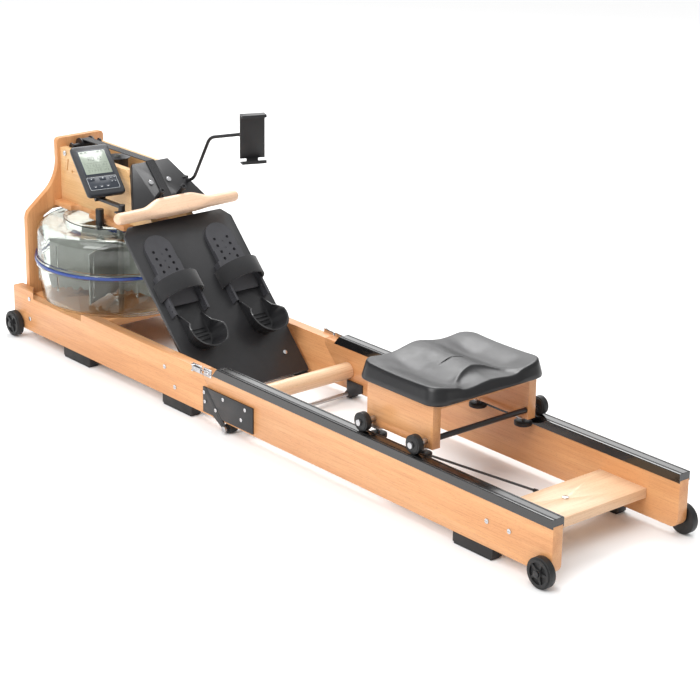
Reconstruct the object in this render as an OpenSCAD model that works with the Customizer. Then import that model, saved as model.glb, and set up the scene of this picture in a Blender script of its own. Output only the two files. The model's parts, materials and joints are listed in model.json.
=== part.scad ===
// Folding wooden rowing machine with a water tank drive.
// Millimetres. X runs to the rear end, Y to the right-hand rail, Z up from the floor.

/* [Rails] */
// Length over both pairs of rails
rail_len = 2136; // [1900:2:2300]
// Height of a rail board
rail_h = 116; // [90:1:140]
// Thickness of a rail board
rail_t = 30; // [22:1:36]
// Clear width between the rails
rail_gap = 370; // [340:2:460]
// Height of the rubber feet below the rails
foot_h = 28; // [20:1:40]
// Height of the roller track above the rail
track_h = 18; // [12:1:24]

/* [Fold joint] */
// Where the rails part, from the middle of the machine
joint_x = -170; // [-260:5:-100]
// Fold axis from the middle of the machine
pivot_x = -75; // [-100:1:-60]
// Fold axis below the rails
pivot_drop = 14; // [14:1:18]

/* [Water tank] */
// Tank centre from the middle of the machine
tank_x = -847; // [-880:1:-820]
// Outside radius of the clear shells
tank_r = 229; // [200:1:240]
// Height of the sealing ring above the rails' underside
tank_ring_z = 218; // [200:1:240]

/* [Footboard] */
// Slope of the footboard
foot_a = 46; // [35:1:55]
// Length of the footboard
footboard_len = 515; // [450:5:540]
// Width of the footboard
footboard_w = 352; // [300:2:360]
// Middle of a footrest from the centre line
footrest_y = 100; // [85:1:110]

/* [Seat] */
// Front edge of the seat cushion from the middle of the machine
seat_x = 375; // [330:1:440]
// Length of the cushion
seat_len = 282; // [240:1:300]
// Width of the cushion
seat_w = 362; // [336:1:370]
// Radius of a load roller
roller_r = 23; // [18:1:28]

/* [Wheels] */
// Radius of a transport wheel
wheel_r = 36; // [28:1:40]
// Width of a transport wheel
wheel_w = 22; // [16:1:28]

/* [Handle] */
// Length of the handle bar
handle_len = 404; // [360:2:460]
// Thickness of the grips
grip_d = 32; // [28:1:36]

/* [Monitor] */
// Width of the monitor case
mon_w = 110; // [104:1:112]
// Height of the monitor case
mon_h = 164; // [160:1:170]
// Thickness of the monitor case
mon_t = 26; // [20:1:32]

/* [Hidden] */
$fn = 64;
e = 0.01;
// Radial clearance of a running fit
run_gap = 0.05;
xr = rail_len / 2;
yi = rail_gap / 2;
yo = yi + rail_t;
z0 = foot_h;
z1 = z0 + rail_h;
zt = z1 + track_h;
joint_top = 96;
joint_low = pivot_x - 7;
pivot_z = z0 - pivot_drop;
track_x0 = joint_x + 38;
track_w = rail_t + 4;
foot_x = -225;
foot_z = z0 + 14;
board_t = 10;
deck_z = z0 + 336;
spine_z0 = deck_z + 15;
spine_z1 = z0 + 500;
spine_y = 48;
spine_t = 20;
head_x = -1050;
head_t = 18;
base_z = z0 + 78;
tank_z = base_z + 22;
ring_z = z0 + tank_ring_z;
window_w = 139;
tank_t = 4;
dome_z = z0 + 320;
shoulder_r = 28;
neck_wide = 155;
shaft_r = 8;
pulley_x = -1006;
pulley_z = z0 + 503;
pulley_r = 14;
spool_r = 28;
spool_z = z0 + 480;
strap_w = 28;
strap_t = 2.4;
plate_n = 9;
plate_t = 3;
plate_s0 = 530;
plate_s1 = 688;
handle_s = 529;
handle_n = 30;
block_up = 34;
peg_s = 576;
mon_pos = [-745, -134, z0 + 505];
mon_yaw = -11;
mon_tilt = 40;
arm_x = -640;
arm_y = -132;
arm_z = z0 + 424;
hold_yaw = -22;
// The neck rises from its clamp, climbs, and levels out toward the holder
neck_r = 4.5;
neck_p0 = [-646, 84, z0 + 462];
neck_yaw = 5;
climb = 62;
level = 14;
bend1 = 45;
bend2 = 40;
run1 = 109;
run2 = 143;
neck_u = bend1 * sin(climb) + run1 * cos(climb) + bend2 * (sin(climb) - sin(level))
  + run2 * cos(level);
neck_v = bend1 * (1 - cos(climb)) + run1 * sin(climb) + bend2 * (cos(level) - cos(climb))
  + run2 * sin(level);
hold_back = 28;
hold_pos = neck_p0 + [neck_u * cos(neck_yaw) + hold_back * cos(hold_yaw),
                      neck_u * sin(neck_yaw) + hold_back * sin(hold_yaw), neck_v];
hold_w = 66;
hold_h = 118;
side_x0 = 404;
side_len = 227;
side_y = 140;
side_t = 24;
side_z0 = z0 + 140;
side_z1 = z0 + 248;
seat_h = 54;
load_x = [430, 610];
load_y = 199;
load_w = 20;
load_z = zt + 0.3 + roller_r;
guide_x = [440, 596];
guide_r = 22;
guide_y = yi - 2 - 0.4 - guide_r;
guide_z = z0 + 112;
guide_h = 12;
rod_x = [418, 622];
rod_z = z0 + 162;
wheel_x = xr - 18;
wheel_z = wheel_r + 1;
wheel_y = yo + 4;
axle_r = 4.5;
axle_depth = 22;
plank_x = 828;
plank_len = 144;
plank_z = z0 + 44;
plank_t = 24;
dowel_z = z0 + 52;
dowel_r = 22;
latch_z = z0 + 114;
heel_s = 118;

// ---- helpers ----

module rrect(lx, ly, r) {
  translate([r, 0]) square([lx - 2 * r, ly]);
  translate([0, r]) square([lx, ly - 2 * r]);
  for (x = [r, lx - r], y = [r, ly - r]) translate([x, y]) circle(r);
}

module rblock(lx, ly, lz, r) linear_extrude(lz) rrect(lx, ly, r);

// Flat profile drawn in X and Z, standing at y0 and t thick toward +Y
module side_plate(y0, t) translate([0, y0 + t, 0]) rotate([90, 0, 0]) linear_extrude(t) children();

// Rod along Y
module rod_y(x, y0, y1, z, r) translate([x, y0, z]) rotate([-90, 0, 0]) cylinder(h = y1 - y0, r = r);

// Local frame of the footboard: -X climbs the slope, Z leaves its face
module slope() translate([foot_x, 0, foot_z]) rotate([0, foot_a, 0]) children();

module both_sides() {
  children();
  mirror([0, 1, 0]) children();
}

module screw_head(x, y, z, r = 5, h = 2.2) {
  // Round head lying against the outer face of a left-hand part
  difference() {
    rod_y(x, y - h, y, z, r);
    translate([x - r, y - h - e, z - 0.6]) cube([2 * r, 0.8, 1.2]);
  }
}

// ---- rails ----

module front_profile() {
  difference() {
    polygon([[-xr + 14, z0], [joint_low, z0], [joint_x, z0 + joint_top], [joint_x, z1],
             [-xr, z1], [-xr, z0 + 14]]);
    difference() {
      translate([-xr - e, z0 - e]) square([14 + e, 14 + e]);
      translate([-xr + 14, z0 + 14]) circle(14);
    }
  }
  translate([-xr + 14, z0 + 14]) circle(14);
}

module rear_profile() {
  polygon([[joint_low + 0.5, z0], [xr - 22, z0], [xr, z0 + 22], [xr, z1],
           [joint_x + 0.5, z1], [joint_x + 0.5, z0 + joint_top]]);
  translate([xr - 22, z0 + 22]) circle(22);
}

module front_rail() {
  difference() {
    side_plate(-yo, rail_t) front_profile();
    translate([tank_x, 0, tank_z - 3]) cylinder(h = 40, r = 246);
    rod_y(-wheel_x, -yo - e, -yo + axle_depth, wheel_z, axle_r);
  }
}

module front_rails() color("burlywood") both_sides() front_rail();

module rear_rail() {
  difference() {
    side_plate(-yo, rail_t) rear_profile();
    rod_y(wheel_x, -yo - e, -yo + axle_depth, wheel_z, axle_r);
  }
}

module rear_rails() color("burlywood") both_sides() rear_rail();

// Cross-section of a track cap over the left rail, drawn in Y and Z
module track_profile() {
  difference() {
    translate([-yo - 2, z1 - 5]) square([track_w, track_h + 5]);
    translate([-yo, z1 - 5 - e]) square([rail_t, 5 + e]);
    // Fine ribs on both sides of the rollers' path
    for (y = [1.5, 4.5, 25.5, 28.5]) translate([-yo + y - 0.75, zt - 1.5]) square([1.5, 1.5 + e]);
  }
}

module roller_tracks() color("dimgray") both_sides()
  difference() {
    translate([track_x0, 0, 0]) rotate([90, 0, 90]) linear_extrude(xr - track_x0) track_profile();
    translate([track_x0, -yo - 10, zt]) rotate([0, 40, 0]) translate([-20, 0, 0]) cube([20, 60, 20]);
  }

// ---- boards ----

module headboard() color("burlywood")
  translate([head_x, 0, 0]) rotate([90, 0, 90]) linear_extrude(head_t) {
    head_half();
    mirror([1, 0]) head_half();
  }

// Half of the headboard in Y and Z: a sloping shoulder, a hollow neck, and an opening for the tank
module head_half() difference() {
  edge = yi - 0.5;
  shoulder_z = z0 + 316;
  neck_y = 78;
  top_z = z0 + 526;
  hollow = [neck_y + 109.4, z0 + 465];
  polygon([[-e, z0 + 14], [edge, z0 + 14], [edge, shoulder_z - 6], [edge - 2, shoulder_z + 4],
           [edge - 7, shoulder_z + 15], [neck_y + 40, z0 + 380], [neck_y + 40, hollow[1]],
           [neck_y, hollow[1]], [neck_y, top_z - 10], [neck_y - 3, top_z - 3], [neck_y - 10, top_z],
           [-e, top_z]]);
  translate(hollow) circle(110);
  polygon([[-1, tank_z - 3], [window_w, tank_z - 3], [window_w, ring_z - 17], [window_w + 14, ring_z - 14],
           [window_w + 14, ring_z + 17], [window_w, ring_z + 20], [window_w, dome_z - 30],
           [window_w - 12, dome_z - 8], [window_w - 40, dome_z + 6], [-1, dome_z + 6]]);
}

module spine_board() {
  dz = spine_z0 - foot_z;
  top = spine_z1 - foot_z;
  k = 1 / tan(foot_a);
  back = board_t / sin(foot_a);
  difference() {
    side_plate(-spine_y - spine_t, spine_t)
      polygon([[head_x + head_t, spine_z0], [foot_x - dz * k - back, spine_z0],
               [foot_x - top * k - back, spine_z1], [head_x + head_t, spine_z1]]);
    rod_y(pulley_x, -spine_y - spine_t - e, -spine_y + e, pulley_z - 16, 3.1);
    translate([-996, -spine_y - spine_t - e, z0 + 455]) rotate([0, 12, 0])
      translate([-3, 0, -18]) cube([6, 5, 36]);
    rod_y(-974, -spine_y - spine_t - e, -spine_y - spine_t + 5, z0 + 440, 4);
  }
}

module spine_boards() color("burlywood") both_sides() spine_board();

module cross_boards() color("burlywood") {
  // Tank base board and its front brace
  difference() {
    translate([-1010, -yi + 0.5, base_z]) cube([330, rail_gap - 1, 22]);
    translate([tank_x, 0, base_z - e]) cylinder(h = 23, r = shaft_r + run_gap);
  }
  translate([-997, -yi + 0.5, z0 + 14]) cube([24, rail_gap - 1, base_z - z0 - 14]);
  // Backing board under the lower end of the footboard
  slope() translate([-140, -yi + 0.5, -board_t - 28]) cube([110, rail_gap - 1, 28]);
  // Deck board over the tank neck, with a rounded notch on each long side
  difference() {
    translate([head_x + head_t, -92, deck_z]) cube([340, 184, 15]);
    for (s = [-1, 1]) {
      for (x = [-930, -880]) translate([x, s * 88, deck_z - e]) cylinder(h = 16, r = 20);
      translate([-930, s * 88 - 20, deck_z - e]) cube([50, 40, 16]);
      translate([-950, s > 0 ? 88 : -108, deck_z - e]) cube([90, 20, 16]);
    }
    translate([tank_x, 0, deck_z - e]) cylinder(h = 16, r = shaft_r + run_gap);
  }
}

module rear_plank() color("wheat") difference() {
  translate([plank_x, -yi + 0.3, plank_z]) cube([plank_len, rail_gap - 0.6, plank_t]);
  translate([plank_x + 68, 0, plank_z - e]) cylinder(h = plank_t + 1, r = 4.2);
}

module cross_dowel() color("wheat") rod_y(pivot_x, -yi, yi, dowel_z, dowel_r);

// ---- tank ----

module tank_ribs(za, zb, r, n = 12) for (i = [0:n - 1])
  rotate([0, 0, i * 360 / n + 7]) translate([r - 2.5, -1.6, za]) cube([4.5, 3.2, zb - za]);

module tank_lower() color("lightblue", 0.35) translate([tank_x, 0, 0]) {
  rotate_extrude() difference() {
    polygon([[0, tank_z], [206, tank_z], [219, tank_z + 12], [225, tank_z + 60], [tank_r, ring_z - 12],
             [tank_r + 6, ring_z - 12], [tank_r + 6, ring_z - 4], [0, ring_z - 4]]);
    translate([-1, tank_z - 1]) square([1 + 9, 300]);
    polygon([[0, tank_z + 4], [204, tank_z + 4], [215, tank_z + 14], [221, tank_z + 60],
             [225, ring_z - 12], [225, ring_z], [0, ring_z]]);
  }
  tank_ribs(tank_z + 62, ring_z - 12, tank_r - 1);
}

module seal_ring() color("royalblue") translate([tank_x, 0, 0])
  rotate_extrude() translate([225, ring_z - 4]) square([tank_r + 8 - 225, 8]);

// Points of a quarter round of radius r about (tank_r - shoulder_r, dome_z - shoulder_r)
function shoulder(r) = [for (a = [0:15:90]) [tank_r - shoulder_r + r * cos(a),
                                             dome_z - shoulder_r + r * sin(a)]];

function reversed(v) = [for (i = [len(v) - 1:-1:0]) v[i]];

module tank_upper() color("lightblue", 0.35) translate([tank_x, 0, 0]) difference() {
  union() {
    rotate_extrude() polygon(concat(
      [[tank_r - tank_t, ring_z + 4], [tank_r + 6, ring_z + 4], [tank_r + 6, ring_z + 12],
       [tank_r, ring_z + 12]],
      shoulder(shoulder_r),
      [[neck_wide, dome_z], [neck_wide, deck_z], [11, deck_z], [11, deck_z - tank_t],
       [neck_wide - tank_t, deck_z - tank_t], [neck_wide - tank_t, dome_z - tank_t]],
      reversed(shoulder(shoulder_r - tank_t))));
    tank_ribs(ring_z + 11, dome_z - shoulder_r - 2, tank_r - 0.6);
  }
  translate([65, -108, deck_z - 30]) cylinder(h = 60, r = 9);
}

module impeller() color("darkgray") translate([tank_x, 0, 0]) {
  translate([0, 0, base_z + 2]) cylinder(h = spool_z + 22 - base_z, r = shaft_r);
  translate([0, 0, tank_z + 26]) cylinder(h = 150, r = 20);
  for (i = [0:5]) rotate([0, 0, 60 * i]) translate([18, -2, tank_z + 30]) cube([176, 4, 142]);
}

module fill_plug() color("black") translate([tank_x + 65, -108, 0]) {
  translate([0, 0, deck_z + 0.3]) cylinder(h = 46, r = 11.5);
  translate([0, 0, deck_z - 12]) cylinder(h = 14, r = 8.6);
}

// ---- footboard and footrests ----

module footboard() color("dimgray") slope() translate([0, 0, -board_t]) linear_extrude(board_t)
  polygon([[0, -footboard_w / 2], [-footboard_len + 26, -footboard_w / 2],
           [-footboard_len, -footboard_w / 2 + 24], [-footboard_len, footboard_w / 2 - 24],
           [-footboard_len + 26, footboard_w / 2], [0, footboard_w / 2]]);

module upper_plate() color("dimgray") {
  plate_body();
  // Bracket that carries the monitor arm
  difference() {
    translate([arm_x - 15, arm_y - 14, arm_z - 18]) cube([57, 27, 4]);
    translate([arm_x, arm_y, arm_z - 19]) cylinder(h = 6, r = 4 + run_gap);
  }
}

module plate_body() slope() {
  hw0 = 130;
  hw1 = 58;
  difference() {
    union() {
      translate([0, 0, plate_n]) linear_extrude(plate_t)
        polygon([[-plate_s0, -hw0], [-plate_s0, hw0], [-plate_s1, hw1], [-plate_s1, -hw1]]);
      // Spacer rails on the ends of the spine boards, and the folded edges
      for (s = [-1, 1]) translate([-plate_s1 + 22, s * 58 - 10, -board_t])
        cube([120, 20, plate_n + board_t]);
      for (s = [-1, 1]) translate([0, 0, plate_n - 14]) linear_extrude(14 + e)
        polygon([[-plate_s0, s * hw0], [-plate_s1, s * hw1],
                 [-plate_s1, s * (hw1 - 3)], [-plate_s0, s * (hw0 - 3)]]);
    }
    for (s = [-1, 1]) translate([-peg_s, s * 35, plate_n - e]) cylinder(h = 5, r = 3);
  }
  // Handle stops
  for (s = [-1, 1]) translate([-peg_s, s * 35, plate_n + plate_t]) difference() {
    union() {
      cylinder(h = 38, r = 6);
      translate([0, 0, 34]) cylinder(h = 6, r = 8);
    }
    translate([0, 0, 36]) cylinder(h = 5, r = 3.4);
  }
}

// Perforated toe plate with its side clips, fixed to the footboard
module footrest(y) translate([0, y, 0]) {
  difference() {
    union() {
      translate([-430, -42, 0.2]) cube([168, 84, 10]);
      translate([-430, 0, 0.2]) cylinder(h = 10, r = 42);
      translate([-390, -42, 0.2]) cube([60, 84, 14]);
    }
    for (c = [-21, 21], r = [0:3]) translate([-424 + r * 21, c, 2]) cylinder(h = 20, r = 4.6);
    for (r = [0:2]) translate([-413 + r * 21, 0, 9]) cylinder(h = 6, r = 3);
    translate([-330, -50, 0]) cube([80, 100, 5.4]);
  }
  for (s = [-1, 1]) difference() {
    translate([-352, s * 52 - 3, 0.2]) cube([120, 6, 24]);
    for (x = [-246, -262]) translate([x, s * 52 - 4, 15]) rotate([-90, 0, 0]) cylinder(h = 8, r = 2.6);
  }
  for (s = [-1, 1]) translate([-352, s > 0 ? 41 : -55, 0.2]) cube([80, 14, 5]);
}

module footrests() color("dimgray") slope() for (s = [-1, 1]) footrest(s * footrest_y);

// Arched instep strap
module foot_strap(y) translate([-332, y, 0]) rotate([90, 0, 90]) linear_extrude(50)
  difference() {
    translate([0, 6]) circle(65);
    translate([0, 6]) circle(61);
    translate([-80, -80.6]) square([160, 81]);
  }

module foot_straps() color("black") slope() for (s = [-1, 1]) foot_strap(s * footrest_y);

// Sliding heel plate with a scoop that widens away from the board
module heel_cup(y) slope() translate([-heel_s, y, 0]) {
  scoop_x = -46;
  difference() {
    union() {
      translate([-190, -36, 0.6]) cube([140, 72, 4.2]);
      translate([-112, -36, 0.6]) cube([66, 72, 40]);
      translate([scoop_x, 0, 0.6]) cylinder(h = 62, r1 = 36, r2 = 58);
    }
    translate([scoop_x, 0, 4.8]) cylinder(h = 62, r1 = 32.6, r2 = 55);
    translate([-150, -32, 4.8]) cube([104, 64, 90]);
    // The rim falls away toward the toes
    side_plate(-80, 160) polygon([[-150, 10], [-112, 10], [-52, 52], [0, 60], [40, 60], [40, 120], [-150, 120]]);
    // Triangular window under the heel
    translate([-30, 0, 0]) rotate([0, 0, 180]) translate([-10, 0, -1]) cylinder(h = 8, r = 9, $fn = 3);
  }
  for (i = [0:3]) translate([-70 + i * 11, -24, 4.8]) cube([3, 48, 3]);
}

module heel_cup_left() color("black") heel_cup(-footrest_y);
module heel_cup_right() color("black") heel_cup(footrest_y);

// ---- handle and strap ----

module handle() color("wheat") slope() translate([-handle_s, 0, handle_n]) {
  grip = handle_len / 2 - grip_d / 2;
  for (s = [-1, 1]) {
    rotate([s * 90, 0, 0]) cylinder(h = grip, r = grip_d / 2);
    translate([0, -s * grip, 0]) sphere(grip_d / 2 + 0.1);
  }
  difference() {
    translate([-block_up, -92, -14]) cube([block_up + 18, 184, 28]);
    for (s = [-1, 1]) translate([-block_up - 34, s * 92, -20]) cylinder(h = 40, r = 46);
    translate([-block_up - 1, -strap_w / 2 - 0.5, -16]) cube([12, strap_w + 1, 4.6]);
  }
}

// Strap from the drum to the top edge of the upper plate
function sx(s, n) = foot_x - s * cos(foot_a) + n * sin(foot_a);
function sz(s, n) = foot_z + s * sin(foot_a) + n * cos(foot_a);

module strap_run() color("black") {
  top_x = sx(plate_s1 + 1, plate_n + plate_t);
  top_z = sz(plate_s1 + 1, plate_n + plate_t);
  side_plate(-strap_w / 2, strap_w) {
    polygon([[pulley_x, pulley_z + pulley_r + 0.4], [top_x, top_z], [top_x + 1, top_z + strap_t],
             [pulley_x, pulley_z + pulley_r + 0.4 + strap_t]]);
    difference() {
      translate([pulley_x, pulley_z]) circle(pulley_r + 0.4 + strap_t);
      translate([pulley_x, pulley_z]) circle(pulley_r + 0.4);
      translate([pulley_x, pulley_z]) square([40, 40]);
      translate([pulley_x, pulley_z - 40]) square([40, 40 + e]);
    }
  }
  strap_return();
}

// The strap turns upright on its way from the pulley to the spool
module strap_return() {
  z = pulley_z - pulley_r - 0.4 - strap_t / 2;
  reach = [tank_x - pulley_x, spool_r + 4.4, spool_z - z];
  translate([pulley_x + 0.3, 0, z])
    rotate([0, acos(reach[2] / norm(reach)), atan2(reach[1], reach[0])])
      linear_extrude(norm(reach), twist = -90, slices = 12, $fn = 8) square([strap_t, strap_w], center = true);
}

module strap_drop() color("black") slope()
  translate([-plate_s1 - 0.5, -strap_w / 2, plate_n + plate_t + 0.3])
    cube([plate_s1 - handle_s - block_up + 8, strap_w, strap_t]);

// Guide pulley at the head, where the strap turns back toward the spool
module head_pulley() color("black") {
  rod_y(pulley_x, -20, 20, pulley_z, pulley_r);
  both_sides() rod_y(pulley_x, -21, -17, pulley_z, pulley_r + 6);
  rod_y(pulley_x, -spine_y + 0.6, spine_y - 0.6, pulley_z, 6);
}

module pulley_bracket() color("dimgray") both_sides() side_plate(-spine_y, 4) difference() {
  union() {
    translate([pulley_x - 10, pulley_z - 30]) square([20, 30]);
    translate([pulley_x, pulley_z]) circle(10);
  }
  translate([pulley_x, pulley_z]) circle(6 + run_gap);
  translate([pulley_x, pulley_z - 16]) circle(3);
}

// Spool on the impeller shaft; its clutch lets it run back while the impeller turns on
module strap_spool() color("dimgray") translate([tank_x, 0, spool_z]) difference() {
  union() {
    translate([0, 0, -18]) cylinder(h = 36, r = spool_r);
    for (z = [-19.5, 16.5]) translate([0, 0, z]) cylinder(h = 3, r = spool_r + 6);
  }
  translate([0, 0, -20]) cylinder(h = 40, r = shaft_r + run_gap);
}

// ---- monitor ----

module mon_frame() translate(mon_pos) rotate([0, 0, mon_yaw]) rotate([0, mon_tilt, 0])
  translate([0, 0, -mon_t]) children();

module key_hole(x, y) translate([x - 5.9, y - 9.4, mon_t - 6]) cube([11.8, 18.8, 7]);

module key(x, y) translate([x - 5.5, y - 9, mon_t - 4.4]) cube([11, 18, 6]);

module monitor_case() color("darkslategray") mon_frame() difference() {
  union() {
    translate([-mon_h / 2, -mon_w / 2, 0]) rblock(mon_h, mon_w, mon_t, 9);
    // Small keys moulded with the panel
    for (y = [-20, 0, 20]) translate([50, y, mon_t]) cylinder(h = 1, r = 4);
    for (x = [27, 39], y = [32, 43]) translate([x - 3.5, y - 4, mon_t]) cube([7, 8, 1]);
    // Tilt ear on the back
    translate([40, -9, -14]) cube([20, 18, 14 + e]);
  }
  translate([-62, -38, mon_t - 1.6]) cube([76, 76, 3]);
  key_hole(30, -30);
  key_hole(30, 3);
  translate([50, -12, -8]) rotate([-90, 0, 0]) cylinder(h = 24, r = 3 + run_gap);
}

module monitor_screen() color("darkseagreen") mon_frame()
  translate([-61.8, -37.8, mon_t - 1.6]) cube([75.6, 75.6, 1.2]);

module key_left() color("slategray") mon_frame() key(30, -30);
module key_right() color("slategray") mon_frame() key(30, 3);

// Swinging arm: its post turns in the plate's bracket, its fork carries the tilt pin
module monitor_arm() color("black") {
  translate([arm_x, arm_y, arm_z - 14]) cylinder(h = 20, r = 9);
  translate([arm_x, arm_y, arm_z - 20]) cylinder(h = 8, r = 4);
  translate([arm_x, arm_y, arm_z - 22]) cylinder(h = 3.6, r = 7);
  translate([arm_x - 110, arm_y - 7, arm_z - 4]) cube([110, 14, 8]);
  mon_frame() {
    for (y = [-14, 9.4]) {
      translate([50, y, -8]) rotate([-90, 0, 0]) cylinder(h = 4.6, r = 7);
      translate([43, y, -36]) cube([14, 4.6, 28]);
    }
    translate([50, -14, -8]) rotate([-90, 0, 0]) cylinder(h = 28, r = 3);
    translate([40, -14, -36]) cube([20, 28, 14]);
  }
}

// ---- device holder ----

module neck_bend(r, a) rotate_extrude(angle = a) translate([r, 0]) circle(neck_r + 0.1);

module neck_run(l) rotate([0, 90, 0]) translate([0, 0, -1.5]) cylinder(h = l + 3, r = neck_r);

// Drawn in X and Y, then stood up so that Y becomes height
module neck_tube() translate(neck_p0) rotate([0, 0, neck_yaw]) rotate([90, 0, 0]) {
  translate([-18, -10, -9]) cube([18, 20, 18]);
  translate([0, bend1, 0]) rotate([0, 0, -90]) neck_bend(bend1, climb);
  translate([bend1 * sin(climb), bend1 * (1 - cos(climb)), 0]) rotate([0, 0, climb]) {
    neck_run(run1);
    translate([run1, -bend2, 0]) rotate([0, 0, 90 - climb + level]) {
      neck_bend(bend2, climb - level);
      rotate([0, 0, -90]) translate([0, bend2, 0]) neck_run(run2);
    }
  }
}

module hold_frame() translate(hold_pos) rotate([0, 0, hold_yaw]) children();

// The neck ends in a round cap with the holder's swivel pin
module gooseneck() color("black") {
  neck_tube();
  hold_frame() rotate([0, 90, 0]) {
    translate([0, 0, -34]) cylinder(h = 11.6, r = 8);
    translate([0, 0, -23]) cylinder(h = 12, r = 3);
  }
}

// Back plate faces local +X
module holder_back() color("black") hold_frame() {
  difference() {
    translate([-7, -hold_w / 2, -hold_h / 2]) cube([7, hold_w, hold_h]);
    translate([-4.6, -16.4, -hold_h / 2 - e]) cube([4.6 + e - 2, 32.8, 74]);
  }
  translate([-7, -hold_w / 2, hold_h / 2 - 4]) cube([26, hold_w, 4]);
  for (i = [0:4]) translate([4 + 3.4 * i, -hold_w / 2 + 6, hold_h / 2 - 5.4]) cube([1.6, hold_w - 12, 1.5]);
  translate([16, -hold_w / 2, hold_h / 2 - 8]) cube([3, hold_w, 8]);
  translate([-22, 0, 0]) rotate([0, 90, 0]) difference() {
    cylinder(h = 15.5, r = 10);
    translate([0, 0, -1]) cylinder(h = 13, r = 3 + run_gap);
  }
}

module holder_jaw() color("black") hold_frame() {
  translate([-4.2, -16, -hold_h / 2 - 12]) cube([1.8, 32, 70]);
  translate([-4.2, -hold_w / 2, -hold_h / 2 - 12]) cube([23.2, hold_w, 4]);
  translate([16, -hold_w / 2, -hold_h / 2 - 12]) cube([3, hold_w, 9]);
}

// ---- fold hinge and latches ----

function seam_x(z) = joint_x + (joint_low - joint_x) * (joint_top - z) / joint_top;

module leaf_front_shape() {
  difference() {
    union() {
      polygon([[-168, z0 + 6], [seam_x(6) - 1, z0 + 6], [seam_x(74) - 1, z0 + 74], [-168, z0 + 74]]);
      polygon([[seam_x(6) - 40, z0 + 6], [pivot_x - 2, pivot_z - 8], [pivot_x - 2, pivot_z + 7],
               [seam_x(6) - 1, z0 + 6]]);
      translate([pivot_x, pivot_z]) circle(9);
    }
    translate([pivot_x, pivot_z]) circle(6.06);
  }
}

module leaf_rear_shape()
  polygon([[seam_x(6), z0 + 6], [37, z0 + 6], [37, z0 + 74], [seam_x(74), z0 + 74]]);

module hinge_leaves_front() color("dimgray") both_sides()
  side_plate(-yo - 4, 4) leaf_front_shape();

module hinge_leaves_rear() color("dimgray") both_sides() {
  side_plate(-yo - 4, 4) leaf_rear_shape();
  // Inner bracket that carries the rear rail on the cross shaft
  side_plate(-yi, 4) difference() {
    union() {
      polygon([[pivot_x - 1, pivot_z - 9], [pivot_x + 60, z0 + 4], [pivot_x + 60, z0 + 26],
               [pivot_x - 1, z0 + 26]]);
      translate([pivot_x, pivot_z]) circle(9);
    }
    translate([pivot_x, pivot_z]) circle(6.06);
  }
}

module hinge_shaft() color("silver") {
  rod_y(pivot_x, -yo - 8, yo + 8, pivot_z, 6);
  for (s = [-1, 1]) rod_y(pivot_x, s > 0 ? yo + 4.4 : -yo - 10, s > 0 ? yo + 10 : -yo - 4.4, pivot_z, 7.6);
}

module shaft_rollers() color("black") both_sides() difference() {
  rod_y(pivot_x, -yo + 3, -yi - 3, pivot_z, 13);
  rod_y(pivot_x, -yo, -yi, pivot_z, 6);
}

// Outer face of the left rail; drawn flat in X and Z
module latch_base() {
  translate([-212, -yo - 2, latch_z - 11]) cube([38, 2, 22]);
  for (z = [-9, 6]) translate([-212, -yo - 9, latch_z + z]) cube([10, 7.2, 3]);
}

module latch_lever() color("silver") {
  // Lever, and the wire loop that reaches over the keeper post
  translate([-207, -yo - 5.6, latch_z - 5.6]) cylinder(h = 11.2, r = 3);
  translate([-207, -yo - 8.6, latch_z - 5.6]) cube([34, 3, 11.2]);
  for (z = [-6.4, 4.6]) translate([-176, -yo - 7.6, latch_z + z]) cube([39.5, 1.8, 1.8]);
  translate([-138.5, -yo - 7.6, latch_z - 6.4]) cube([2, 1.8, 12.8]);
}

module latch_lever_left() latch_lever();
module latch_lever_right() mirror([0, 1, 0]) latch_lever();

module latch_keeper() {
  translate([-166, -yo - 2, latch_z - 11]) cube([32, 2, 22]);
  rod_y(-144.6, -yo - 6.6, -yo - 1, latch_z, 2.6);
}

// ---- feet, wheels and fasteners ----

module foot(x) difference() {
  translate([x - 64, -yo, 0]) cube([128, rail_t, z0]);
  translate([x - 64 - e, -yo - e, -e]) cube([4, rail_t + 1, 4]);
  translate([x + 60 + e, -yo - e, -e]) cube([4, rail_t + 1, 4]);
}

module feet_front() color("black") both_sides() {
  foot(-754);
  foot(-287);
}

module feet_rear() color("black") both_sides() foot(824);

module transport_wheel(x) color("black") translate([x, -wheel_y, wheel_z]) rotate([90, 0, 0]) difference() {
  union() {
    cylinder(h = wheel_w - 6, r = wheel_r);
    translate([0, 0, 3]) cylinder(h = wheel_w - 6, r = wheel_r - 4);
    cylinder(h = wheel_w, r = 11);
  }
  translate([0, 0, wheel_w - 8]) difference() {
    cylinder(h = 20, r = wheel_r - 11);
    cylinder(h = 20, r = 11);
    for (i = [0:4]) rotate([0, 0, i * 72]) translate([0, -3, 0]) cube([wheel_r, 6, 4]);
  }
  translate([0, 0, -1]) cylinder(h = wheel_w + 2, r = axle_r + run_gap);
}

module wheel_front_left() transport_wheel(-wheel_x);
module wheel_front_right() mirror([0, 1, 0]) transport_wheel(-wheel_x);
module wheel_rear_left() transport_wheel(wheel_x);
module wheel_rear_right() mirror([0, 1, 0]) transport_wheel(wheel_x);

module axle_bolt(x) {
  rod_y(x, -wheel_y - wheel_w - 1, -yo + axle_depth, wheel_z, axle_r);
  rod_y(x, -wheel_y - wheel_w - 4, -wheel_y - wheel_w - 0.6, wheel_z, 8);
  rod_y(x, -yo - 3.4, -yo, wheel_z, 8);
}

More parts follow.
